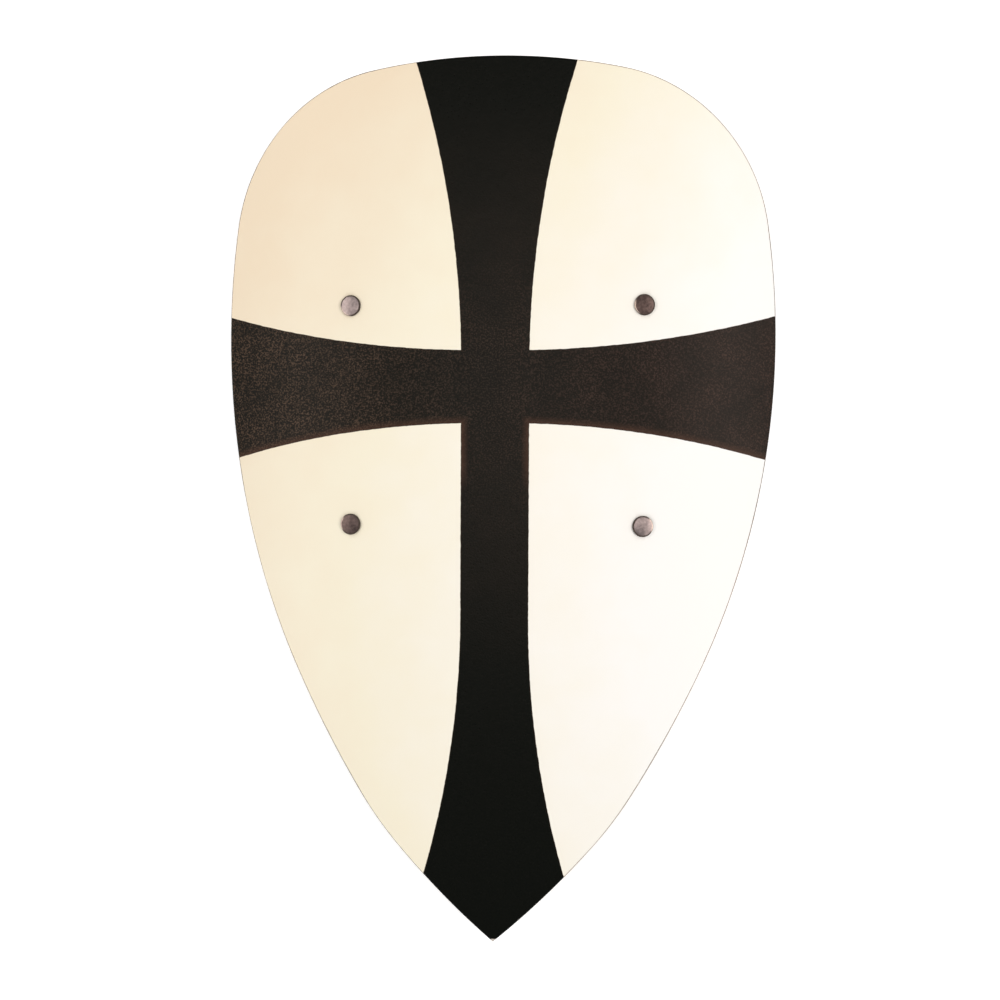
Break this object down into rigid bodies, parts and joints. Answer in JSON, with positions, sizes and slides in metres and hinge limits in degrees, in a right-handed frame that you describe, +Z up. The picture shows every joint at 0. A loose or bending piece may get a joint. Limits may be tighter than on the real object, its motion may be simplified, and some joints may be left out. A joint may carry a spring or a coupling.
{
  "type": "heater shield",
  "caption": "Child's wooden heater shield, bent about its long axis, with a painted cross on the face and riveted leather arm straps behind.",
  "frame": {"origin": "on the surface that the shield lies on, under the middle of its box", "axes": "+Z up, out of the painted face; +Y towards the crown, along the shield; +X to the right seen from above with the crown away from the viewer"},
  "size_m": [0.3196, 0.5006, 0.0468],
  "materials": {
    "painted_plywood": "cream satin paint with a black cross on the face, clear-coated birch on the back",
    "strap_leather": "brown vegetable-tanned leather, matt",
    "rivet_steel": "dull nickel-plated steel"
  },
  "bodies": {
    "root": {"board": "painted_plywood", "arm_strap_left": "strap_leather", "arm_strap_right": "strap_leather", "rivet_upper_left": "rivet_steel", "rivet_upper_right": "rivet_steel", "rivet_lower_left": "rivet_steel", "rivet_lower_right": "rivet_steel", "washer_upper_left": "rivet_steel", "washer_upper_right": "rivet_steel", "washer_lower_left": "rivet_steel", "washer_lower_right": "rivet_steel"}
  },
  "joints": []
}
